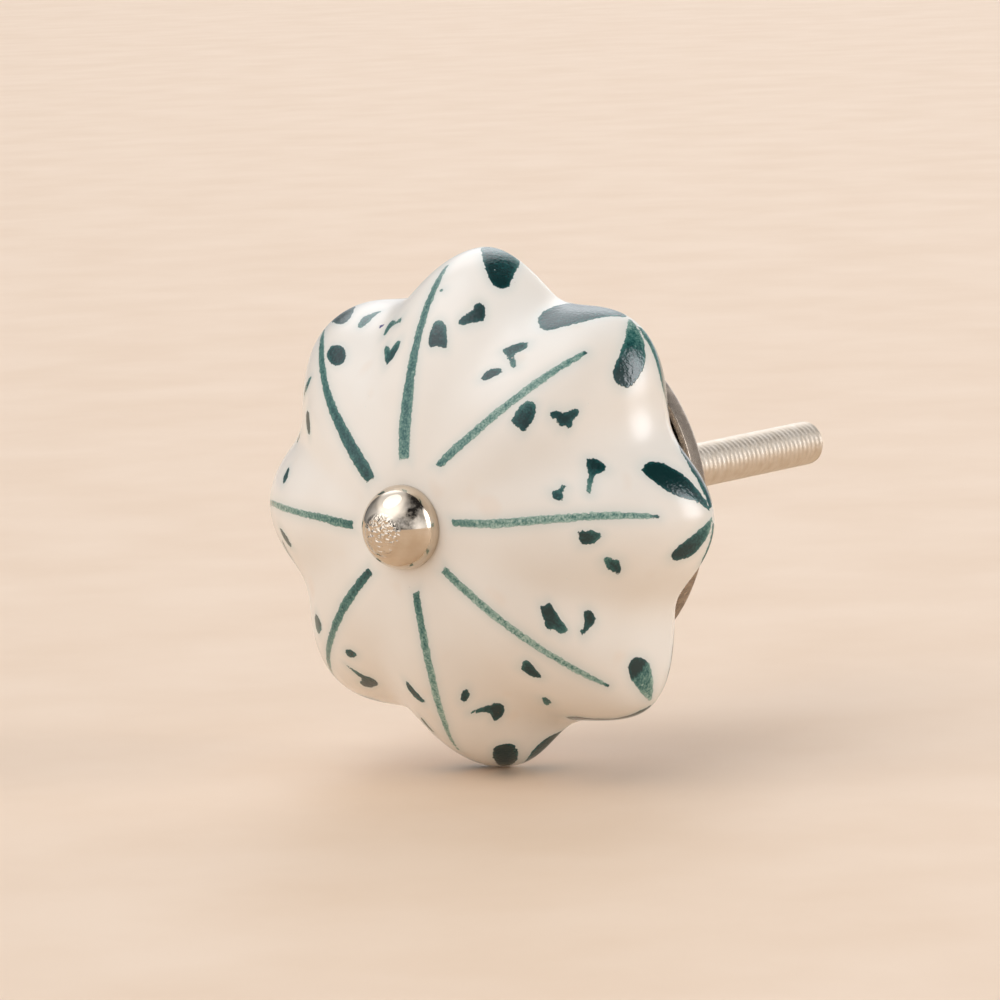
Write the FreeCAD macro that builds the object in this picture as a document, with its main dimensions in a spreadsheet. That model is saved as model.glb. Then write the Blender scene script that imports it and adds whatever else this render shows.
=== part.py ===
import FreeCAD, Part
import math
import os
import re

import Sketcher
from FreeCAD import Placement, Rotation, Vector

# Glazed ceramic cabinet knob with eight lobes, held between a domed nut in front and a
# sheet metal cup behind by one threaded rod, which also fixes it to a door or drawer.
# Row frame: the knob's axis is Y, its front faces -Y, the rod points along +Y, a lobe's
# crest points up (+Z), and the origin is the centre of the cup's back, which meets the door.
# Each piece is modelled along its own Z axis, which points to the front, from its seat.

SIZES = [
    # ceramic body
    ("knob_radius", 22.5, "axis to a lobe's crest at the widest plane"),
    ("valley_radius", 19.7, "axis to the valley between lobes at the widest plane"),
    ("lobe_count", 8, "lobes round the body"),
    ("lobe_softness", 0.95, "0 is a sharp valley, 1 and more a plain wave"),
    ("lobe_fade", 1.5, "how fast the lobes fade towards the axis"),
    ("front_height", 13.1, "widest plane to the top of the front curve"),
    ("front_fullness", 2.4, "power that flattens the front near the axis"),
    ("front_roundness", 1.82, "power that rounds the front near the rim"),
    ("back_height", 6.9, "widest plane to the foot that meets the cup's lip"),
    ("back_roundness", 1.2, "power of the back curve, 1 is a plain cone"),
    ("foot_overlap", 0.4, "how far a crest of the foot reaches over the cup's lip"),
    ("bore_clearance", 0.5, "gap between the rod and the bore, all round"),
    ("recess_clearance", 1.0, "gap between the lock nut and its recess"),
    # domed nut
    ("dome_radius", 3.6, "domed nut, radius"),
    ("dome_skirt", 0.7, "straight side below the dome"),
    ("dome_rise", 3.0, "height of the dome above its skirt"),
    ("dome_margin", 0.4, "flat of the ceramic that shows round the domed nut"),
    ("dome_hole_depth", 2.8, "blind threaded hole of the domed nut"),
    ("dome_rim_chamfer", 0.12, "bevel of the domed nut's lower rim"),
    # threaded rod
    ("rod_radius", 2.0, "crest of the thread"),
    ("rod_pitch_radius", 1.77, "middle of the thread's flanks, where a nut's thread meets them"),
    ("rod_projection", 40.0, "length of rod behind the cup"),
    ("rod_engagement", 2.5, "length of rod inside the domed nut"),
    ("rod_chamfer", 0.5, "bevel of both ends"),
    ("thread_gap", 0.05, "gap between the rod and a threaded hole"),
    # cup
    ("plate_radius", 16.1, "outside of the cup"),
    ("plate_depth", 2.15, "back of the cup to its lip"),
    ("plate_sheet", 0.6, "thickness of the sheet"),
    ("plate_bend", 0.45, "inner radius of the bend between floor and wall"),
    ("plate_hole_gap", 0.15, "gap between the rod and the hole of the cup"),
    # lock nut
    ("nut_flats", 7.0, "across the flats"),
    ("nut_height", 2.2, "thickness of the nut"),
    ("nut_bevel", 0.2, "how far the bevel cuts inside the flats"),
]

# sections of the ceramic body: points on each outline, and outlines on each curve
POINTS_PER_LOBE = 8
FRONT_SECTIONS = 12
BACK_SECTIONS = 6

doc = FreeCAD.newDocument("cabinet_knob")
sheet = doc.addObject("Spreadsheet::Sheet", "sizes")
for row, (alias, value, meaning) in enumerate(SIZES, start=1):
    sheet.set("A%d" % row, alias)
    sheet.set("B%d" % row, str(value))
    sheet.set("C%d" % row, meaning)
    sheet.setAlias("B%d" % row, alias)
doc.recompute()


FACING_FRONT = Rotation(Vector(1, 0, 0), 90)


def bind(target, prop, formula):
    """Tie a property to a formula, in which a name with an underscore is a size of the sheet."""
    target.setExpression(prop, re.sub(r"([a-z]+_[a-z_]+)", r"sizes.\1", formula))


def place(piece, depth):
    """Turn a piece to the front and set its seat at a depth in front of the door."""
    piece.Placement = Placement(Vector(0, 0, 0), FACING_FRONT)
    bind(piece, "Placement.Base.y", "0 - (" + depth + ")")


def new_body(label):
    body = doc.addObject("PartDesign::Body", label)
    body.Label = label
    return body


def sketch_on(body, role, name):
    """Add a sketch on one of the body's own origin planes."""
    sketch = body.newObject("Sketcher::SketchObject", name)
    plane = next(item for item in body.Origin.OriginFeatures if item.Role == role)
    sketch.AttachmentSupport = [(plane, "")]
    sketch.MapMode = "FlatFace"
    return sketch


def dimension(sketch, kind, corner, name, start, formula):
    """Measure a corner from the axis or from the seat, and tie the measure to the sheet."""
    sketch.addConstraint(Sketcher.Constraint(kind, -1, 1, corner, 1, start))
    sketch.renameConstraint(sketch.ConstraintCount - 1, name)
    bind(sketch, "Constraints." + name, formula)


def turned_outline(sketch, corners, curved=()):
    """Draw a closed half section for turning.

    corners holds (name, radius now, radius formula, height now, height formula); a formula of
    None puts the corner on the axis or on the seat. The side that starts at a corner named in
    curved is an arc with its centre on the axis.
    """
    count = len(corners)
    for index, (name, radius, radius_formula, height, height_formula) in enumerate(corners):
        start = Vector(radius, height, 0)
        after = corners[(index + 1) % count]
        end = Vector(after[1], after[3], 0)
        if name in curved:
            rise = end.y - start.y
            arc_radius = (start.x ** 2 + rise ** 2) / (2 * rise)
            centre = Vector(0, end.y - arc_radius, 0)
            circle = Part.Circle(centre, Vector(0, 0, 1), arc_radius)
            low = math.atan2(start.y - centre.y, start.x)
            sketch.addGeometry(Part.ArcOfCircle(circle, low, math.pi / 2), False)
            sketch.addConstraint(Sketcher.Constraint("PointOnObject", index, 3, -2))
        else:
            sketch.addGeometry(Part.LineSegment(start, end), False)
    for index, (name, radius, radius_formula, height, height_formula) in enumerate(corners):
        before = (index - 1) % count
        sketch.addConstraint(Sketcher.Constraint("Coincident", before, 2, index, 1))
        if radius_formula is None:
            sketch.addConstraint(Sketcher.Constraint("PointOnObject", index, 1, -2))
        else:
            dimension(sketch, "DistanceX", index, name + "_radius", radius, radius_formula)
        if height_formula is None:
            sketch.addConstraint(Sketcher.Constraint("PointOnObject", index, 1, -1))
        else:
            dimension(sketch, "DistanceY", index, name + "_height", height, height_formula)


def turn(body, sketch):
    revolution = body.newObject("PartDesign::Revolution", "turned")
    revolution.Profile = sketch
    revolution.ReferenceAxis = (sketch, ["V_Axis"])
    revolution.Angle = 360
    doc.recompute()
    return revolution


def ring_edges(feature, radius, height):
    """Names of the circular edges of a radius at a height above the seat."""
    names = []
    for index, edge in enumerate(feature.Shape.Edges, start=1):
        if edge.Degenerated or not isinstance(edge.Curve, Part.Circle):
            continue
        same_radius = abs(edge.Curve.Radius - radius) < 1e-4
        if same_radius and abs(edge.Curve.Center.z - height) < 1e-4:
            names.append("Edge%d" % index)
    return names


def soften(body, kind, base, edges, prop, formula):
    """Add a fillet or a chamfer to the edges of a feature."""
    feature = body.newObject("PartDesign::" + kind, kind.lower())
    feature.Base = (base, edges)
    bind(feature, prop, formula)
    doc.recompute()
    return feature


# ceramic body: outlines with the lobes, stacked from the foot to the flat under the dome

foot_radius = sheet.plate_radius - sheet.plate_sheet + sheet.foot_overlap
seat_radius = sheet.dome_radius + sheet.dome_margin


def lobe_wave(angle):
    """1 on a crest and 0 in a valley."""
    soft = sheet.lobe_softness
    wave = math.cos(sheet.lobe_count * angle / 2)
    return (math.hypot(wave, soft) - soft) / (math.hypot(1, soft) - soft)


def outline_at(crest, height):
    """Closed outline of the ceramic at a height, through its crests of a radius."""
    share = (crest / sheet.knob_radius) ** sheet.lobe_fade
    sink = share * (sheet.knob_radius - sheet.valley_radius)
    count = int(sheet.lobe_count) * POINTS_PER_LOBE
    points = []
    for index in range(count):
        angle = 2 * math.pi * index / count
        radius = crest - sink * (1 - lobe_wave(angle))
        points.append(Vector(radius * math.sin(angle), radius * math.cos(angle), height))
    curve = Part.BSplineCurve()
    curve.interpolate(Points=points, PeriodicFlag=True)
    return Part.Wire([curve.toShape()])


def front_rise(crest):
    """Height of the front curve above the widest plane."""
    reach = (crest / sheet.knob_radius) ** sheet.front_fullness
    return sheet.front_height * (1 - reach) ** (1 / sheet.front_roundness)


def back_sections():
    """Crest radius and height from the foot up to just below the widest plane."""
    sections = []
    for index in range(BACK_SECTIONS):
        drop = 1 - (index / BACK_SECTIONS) ** 1.3
        reach = (1 - drop ** sheet.back_roundness) ** (1 / sheet.back_roundness)
        crest = foot_radius + (sheet.knob_radius - foot_radius) * reach
        sections.append((crest, sheet.back_height * (1 - drop)))
    return sections


def front_sections():
    """Crest radius and height from the widest plane to the flat under the domed nut."""
    last = math.acos(seat_radius / sheet.knob_radius)
    sections = []
    for index in range(FRONT_SECTIONS + 1):
        crest = sheet.knob_radius * math.cos(last * index / FRONT_SECTIONS)
        sections.append((crest, sheet.back_height + front_rise(crest)))
    return sections


def seat_height():
    """Height of the flat under the domed nut, above the foot."""
    return sheet.back_height + front_rise(seat_radius)


blank = doc.addObject("Part::Feature", "ceramic_blank")
outlines = [outline_at(crest, height) for crest, height in back_sections() + front_sections()]
blank.Shape = Part.makeLoft(outlines, True, False, False)

# height of the seat as one more cell, so that the pieces in front of it follow the curve
seat_row = len(SIZES) + 1
sheet.set("A%d" % seat_row, "seat_height")
sheet.set("B%d" % seat_row, str(seat_height()))
sheet.set("C%d" % seat_row, "foot to the flat under the domed nut, from the curve above")
sheet.setAlias("B%d" % seat_row, "seat_height")

bore = doc.addObject("Part::Cylinder", "rod_bore")
bind(bore, "Radius", "rod_radius + bore_clearance")
bind(bore, "Height", "seat_height")

recess = doc.addObject("Part::Cylinder", "nut_recess")
bind(recess, "Radius", "nut_flats / 2 / cos(30 deg) + recess_clearance")
bind(recess, "Height", "nut_height + plate_sheet - plate_depth + recess_clearance")

hollow = doc.addObject("Part::Fuse", "ceramic_hollow")
hollow.Base = bore
hollow.Tool = recess

ceramic = doc.addObject("Part::Cut", "ceramic_body")
ceramic.Base = blank
ceramic.Tool = hollow
ceramic.Label = "ceramic_body"
place(ceramic, "plate_depth")

# domed nut: turned, with a blind threaded hole for the front end of the rod

dome_nut = new_body("dome_nut")
dome_hole = sheet.rod_pitch_radius + sheet.thread_gap
dome_top = sheet.dome_skirt + sheet.dome_rise
dome_sketch = sketch_on(dome_nut, "XZ_Plane", "dome_section")
turned_outline(
    dome_sketch,
    [
        ("mouth", dome_hole, "rod_pitch_radius + thread_gap", 0, None),
        ("rim", sheet.dome_radius, "dome_radius", 0, None),
        ("skirt", sheet.dome_radius, "dome_radius", sheet.dome_skirt, "dome_skirt"),
        ("top", 0, None, dome_top, "dome_skirt + dome_rise"),
        ("roof", 0, None, sheet.dome_hole_depth, "dome_hole_depth"),
        ("wall", dome_hole, "rod_pitch_radius + thread_gap", sheet.dome_hole_depth, "dome_hole_depth"),
    ],
    curved=("skirt",),
)
dome_turned = turn(dome_nut, dome_sketch)
rim = ring_edges(dome_turned, sheet.dome_radius, 0)
soften(dome_nut, "Chamfer", dome_turned, rim, "Size", "dome_rim_chamfer")
place(dome_nut, "plate_depth + seat_height")

# threaded rod: at the thread's crests behind the cup, where a door and a nut meet it, and at
# its pitch radius inside the knob, where the domed nut and the lock nut hold it

rod = new_body("threaded_rod")


def rod_length(name, radius, radius_formula, length_formula):
    """Pad a round section from the rear tip forwards."""
    section = sketch_on(rod, "XY_Plane", name + "_section")
    section.addGeometry(Part.Circle(Vector(0, 0, 0), Vector(0, 0, 1), radius), False)
    section.addConstraint(Sketcher.Constraint("Coincident", 0, 3, -1, 1))
    section.addConstraint(Sketcher.Constraint("Radius", 0, radius))
    section.renameConstraint(section.ConstraintCount - 1, name + "_radius")
    bind(section, "Constraints." + name + "_radius", radius_formula)
    pad = rod.newObject("PartDesign::Pad", name)
    pad.Profile = section
    bind(pad, "Length", length_formula)
    doc.recompute()
    return pad


core = rod_length(
    "core",
    sheet.rod_pitch_radius,
    "rod_pitch_radius",
    "rod_projection + plate_depth + seat_height + rod_engagement",
)
crests = rod_length("crests", sheet.rod_radius, "rod_radius", "rod_projection")
rod_ends = ring_edges(crests, sheet.rod_radius, 0)
rod_ends += ring_edges(crests, sheet.rod_pitch_radius, core.Length.Value)
soften(rod, "Chamfer", crests, rod_ends, "Size", "rod_chamfer")
place(rod, "0 - rod_projection")

# cup: a pressed disc whose wall stands up to the ceramic's foot

plate = new_body("back_plate")
plate_hole = sheet.rod_radius + sheet.plate_hole_gap
plate_inside = sheet.plate_radius - sheet.plate_sheet
plate_sketch = sketch_on(plate, "XZ_Plane", "cup_section")
turned_outline(
    plate_sketch,
    [
        ("hole", plate_hole, "rod_radius + plate_hole_gap", 0, None),
        ("edge", sheet.plate_radius, "plate_radius", 0, None),
        ("lip", sheet.plate_radius, "plate_radius", sheet.plate_depth, "plate_depth"),
        ("inside", plate_inside, "plate_radius - plate_sheet", sheet.plate_depth, "plate_depth"),
        ("corner", plate_inside, "plate_radius - plate_sheet", sheet.plate_sheet, "plate_sheet"),
        ("floor", plate_hole, "rod_radius + plate_hole_gap", sheet.plate_sheet, "plate_sheet"),
    ],
)
plate_turned = turn(plate, plate_sketch)
outer_bend = ring_edges(plate_turned, sheet.plate_radius, 0)
plate_outer = soften(plate, "Fillet", plate_turned, outer_bend, "Radius", "plate_bend + plate_sheet")
inner_bend = ring_edges(plate_outer, plate_inside, sheet.plate_sheet)
soften(plate, "Fillet", plate_outer, inner_bend, "Radius", "plate_bend")
place(plate, "0")

# lock nut: a thin hexagon nut fixed to the cup's floor, hidden in the ceramic's recess

prism = doc.addObject("Part::Prism", "nut_hexagon")
prism.Polygon = 6
bind(prism, "Circumradius", "nut_flats / 2 / cos(30 deg)")
bind(prism, "Height", "nut_height")

bevel = doc.addObject("Part::Cone", "nut_bevels")
bind(bevel, "Radius1", "nut_flats / 2 - nut_bevel + nut_height / tan(30 deg)")
bind(bevel, "Radius2", "nut_flats / 2 - nut_bevel")
bind(bevel, "Height", "nut_height")

beveled = doc.addObject("Part::Common", "nut_blank")
beveled.Base = prism
beveled.Tool = bevel

thread = doc.addObject("Part::Cylinder", "nut_thread")
bind(thread, "Radius", "rod_pitch_radius + thread_gap")
bind(thread, "Height", "nut_height")

lock_nut = doc.addObject("Part::Cut", "lock_nut")
lock_nut.Base = beveled
lock_nut.Tool = thread
lock_nut.Label = "lock_nut"
place(lock_nut, "plate_sheet")

doc.recompute()

pieces = [ceramic, dome_nut, rod, plate, lock_nut]
for item in doc.Objects:
    if "Invalid" in item.State or "Error" in item.State:
        raise RuntimeError("%s failed: %s" % (item.Label, item.State))
for piece in pieces:
    if piece.Shape.isNull() or not piece.Shape.isValid():
        raise RuntimeError("%s has no valid shape" % piece.Label)

os.makedirs("parts", exist_ok=True)
for piece in pieces:
    piece.Shape.exportStep("parts/%s.step" % piece.Label)
    box = piece.Shape.BoundBox
    print(
        "%s: %.1f mm3, x %.2f..%.2f, y %.2f..%.2f, z %.2f..%.2f"
        % (piece.Label, piece.Shape.Volume, box.XMin, box.XMax, box.YMin, box.YMax, box.ZMin, box.ZMax)
    )
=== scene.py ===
import math

import bmesh
import bpy
import numpy as np
from mathutils import Matrix, Vector


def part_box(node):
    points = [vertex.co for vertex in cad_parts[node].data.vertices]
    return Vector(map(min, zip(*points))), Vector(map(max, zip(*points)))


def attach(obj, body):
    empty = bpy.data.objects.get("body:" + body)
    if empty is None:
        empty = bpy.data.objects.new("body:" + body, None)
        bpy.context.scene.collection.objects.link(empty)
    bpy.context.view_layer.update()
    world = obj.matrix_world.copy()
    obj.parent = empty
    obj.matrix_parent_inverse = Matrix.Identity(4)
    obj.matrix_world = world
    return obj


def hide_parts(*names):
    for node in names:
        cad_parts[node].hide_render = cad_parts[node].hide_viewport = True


# Glazed ceramic cabinet knob: painted body, domed nut, threaded rod and pressed cup.
# Lengths are written in millimetres and turned to metres where a mesh is made.
# Row frame: the axis is Y, the front faces -Y, a lobe's crest points up (+Z).

MM = 0.001

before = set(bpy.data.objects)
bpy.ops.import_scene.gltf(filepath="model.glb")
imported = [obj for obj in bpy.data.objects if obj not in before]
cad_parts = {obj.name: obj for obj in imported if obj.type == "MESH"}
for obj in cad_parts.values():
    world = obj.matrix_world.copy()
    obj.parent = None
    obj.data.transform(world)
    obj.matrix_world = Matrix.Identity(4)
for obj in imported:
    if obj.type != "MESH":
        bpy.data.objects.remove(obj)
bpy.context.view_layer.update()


def corners(node):
    """Lowest and highest corner of a CAD node in millimetres."""
    low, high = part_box(node)
    return low / MM, high / MM


ceramic_low, ceramic_high = corners("ceramic_body")
dome_low, dome_high = corners("dome_nut")
rod_low, rod_high = corners("threaded_rod")
plate_low, plate_high = corners("back_plate")

# sizes and places of the ceramic body, as in the part's source
KNOB_RADIUS = 22.5
VALLEY_RADIUS = 19.7
LOBES = 8
LOBE_SOFTNESS = 0.95
LOBE_FADE = 1.5
FRONT_HEIGHT = 13.1
FRONT_FULLNESS = 2.4
FRONT_ROUNDNESS = 1.82
BACK_HEIGHT = 6.9
BACK_ROUNDNESS = 1.2
FOOT_RADIUS = 15.9
FOOT_ROUNDING = 0.6
SEAT_RADIUS = 4.0
BORE_RADIUS = 2.5
RECESS_RADIUS = 5.04
RECESS_DEPTH = 1.65
FOOT_Y = ceramic_high.y
SEAT_Y = ceramic_low.y
WIDEST_Y = FOOT_Y - BACK_HEIGHT
ROOF_Y = FOOT_Y - RECESS_DEPTH

# how finely the ceramic is divided: round the axis, and along each stretch of its section
CERAMIC_STEPS = 640
FRONT_RINGS = 112
BACK_RINGS = 22
FOOT_BEND_STEPS = 4
UNDER_RINGS = 5
# the two curves are worked out at this many points before they are divided evenly
FRONT_SAMPLES = 600
BACK_SAMPLES = 300
# the flat seat has a ring this far from its inner and outer edge, and is quite round inside
SEAT_MARGIN = 0.5
ROUND_SEAT_RADIUS = 3.4

# thread of the rod: the pitch of M4, and how far its worn, rounded ridges stand up
THREAD_PITCH = 0.7
THREAD_RISE = 0.035
THREAD_STEPS = 64
RIDGE_STEPS = 8
SPARE_TURNS = 3
ROD_CHAMFER = 0.5

# domed nut
DOME_SKIRT = 0.7
DOME_RIM_CHAMFER = 0.12
DOME_HOLE_DEPTH = 2.8
DOME_STEPS = 128
DOME_RINGS = 56
THREAD_GAP = 0.03
# the middle of a rounded edge lies this share of its radius inside the sharp corner
ROUND_EDGE_MIDDLE = 0.3

# cup, pressed from sheet: its thickness, its bend on the inside and its lip
SHEET = 0.6
BEND_INSIDE = 0.12
LIP_ROUNDING = 0.14
PLATE_HOLE_GAP = 0.15
CUP_STEPS = 256
BEND_STEPS = 10
INSIDE_BEND_STEPS = 6
LIP_STEPS = 4

# places nearer than this are one place, in millimetres, and for Blender's tools in metres
TOUCH = 1e-3
MERGE_DISTANCE = 1e-6
CUT_DISTANCE = 1e-7


# painted ornament
#
# Each lobe carries one long stroke along its crest, a few small dabs beside it, two drops
# whose tips meet on the rim, and two strokes behind the rim. All were laid down freehand, so
# every lobe differs. Lobes are numbered from the top one to the right, seen from the front.
# A place on a lobe is (across, reach) in millimetres: across is the distance from the line of
# the crest, more to the side of the next lobe, and reach is the length along the crest from
# the axis. The rim, where the body is widest, has reach 28.6.

# crest strokes: (across, reach, half width) along the stroke, then the paint's body at its hub
# end, middle, rim end and very tip, 0 thin and pale, 1 thick and dark
CREST_STROKES = {
    1: ([(0.0, 5.9, 0.55), (-0.1, 7.6, 0.60), (-0.13, 10.0, 0.58), (-0.2, 12.0, 0.51),
        (-0.33, 14.8, 0.41), (-0.5, 17.2, 0.37), (-0.7, 19.6, 0.35), (-0.96, 22.0, 0.32),
        (-1.35, 24.4, 0.16)], (0.42, 0.60, 0.55, 0.50)),
    2: ([(-1.3, 6.6, 0.34), (-1.25, 8.0, 0.44), (-1.06, 10.0, 0.40), (-0.9, 12.4, 0.37),
        (-0.67, 16.0, 0.34), (-0.45, 19.4, 0.31), (-0.3, 21.4, 0.26),
        (-0.24, 22.2, 0.18)], (0.58, 0.36, 0.50, 0.92)),
    3: ([(-0.6, 5.0, 0.32), (-0.58, 8.0, 0.35), (-0.7, 10.0, 0.37), (-0.94, 12.8, 0.35),
        (-1.14, 16.0, 0.32), (-1.2, 18.4, 0.31), (-1.1, 20.8, 0.27),
        (-0.9, 22.9, 0.12)], (0.50, 0.28, 0.42, 0.98)),
    4: ([(-0.24, 5.2, 0.36), (-0.37, 7.6, 0.36), (-0.53, 10.0, 0.34), (-0.7, 13.0, 0.34),
        (-0.88, 16.0, 0.29), (-1.0, 18.4, 0.27), (-1.03, 20.8, 0.24),
        (-1.0, 22.6, 0.11)], (0.50, 0.26, 0.42, 0.90)),
    5: ([(-0.75, 5.8, 0.37), (-0.84, 8.8, 0.38), (-0.79, 11.2, 0.38), (-0.67, 13.6, 0.37),
        (-0.35, 16.0, 0.34), (0.0, 18.4, 0.28), (0.35, 19.9, 0.21),
        (0.8, 22.5, 0.08)], (0.66, 0.30, 0.34, 0.40)),
    6: ([(0.05, 5.7, 0.38), (0.2, 8.4, 0.41), (0.26, 10.6, 0.42), (0.2, 13.6, 0.38), (0.1, 16.0, 0.34),
        (-0.04, 18.4, 0.31), (-0.25, 20.8, 0.26), (-0.4, 22.6, 0.14)], (0.84, 0.52, 0.50, 0.50)),
    7: ([(-0.15, 5.8, 0.36), (0.0, 7.8, 0.39), (0.23, 10.0, 0.34), (0.35, 13.0, 0.29),
        (0.47, 16.0, 0.27), (0.54, 18.8, 0.24), (0.43, 20.8, 0.22),
        (0.3, 22.4, 0.16)], (0.68, 0.36, 0.42, 0.45)),
    8: ([(0.2, 5.4, 0.52), (0.29, 6.8, 0.66), (0.35, 8.8, 0.64), (0.45, 11.2, 0.56), (0.5, 13.6, 0.46),
        (0.66, 16.0, 0.39), (0.82, 18.4, 0.37), (0.85, 20.4, 0.34), (0.7, 22.4, 0.28),
        (0.4, 24.4, 0.14)], (0.82, 0.64, 0.52, 0.45)),
}

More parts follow.
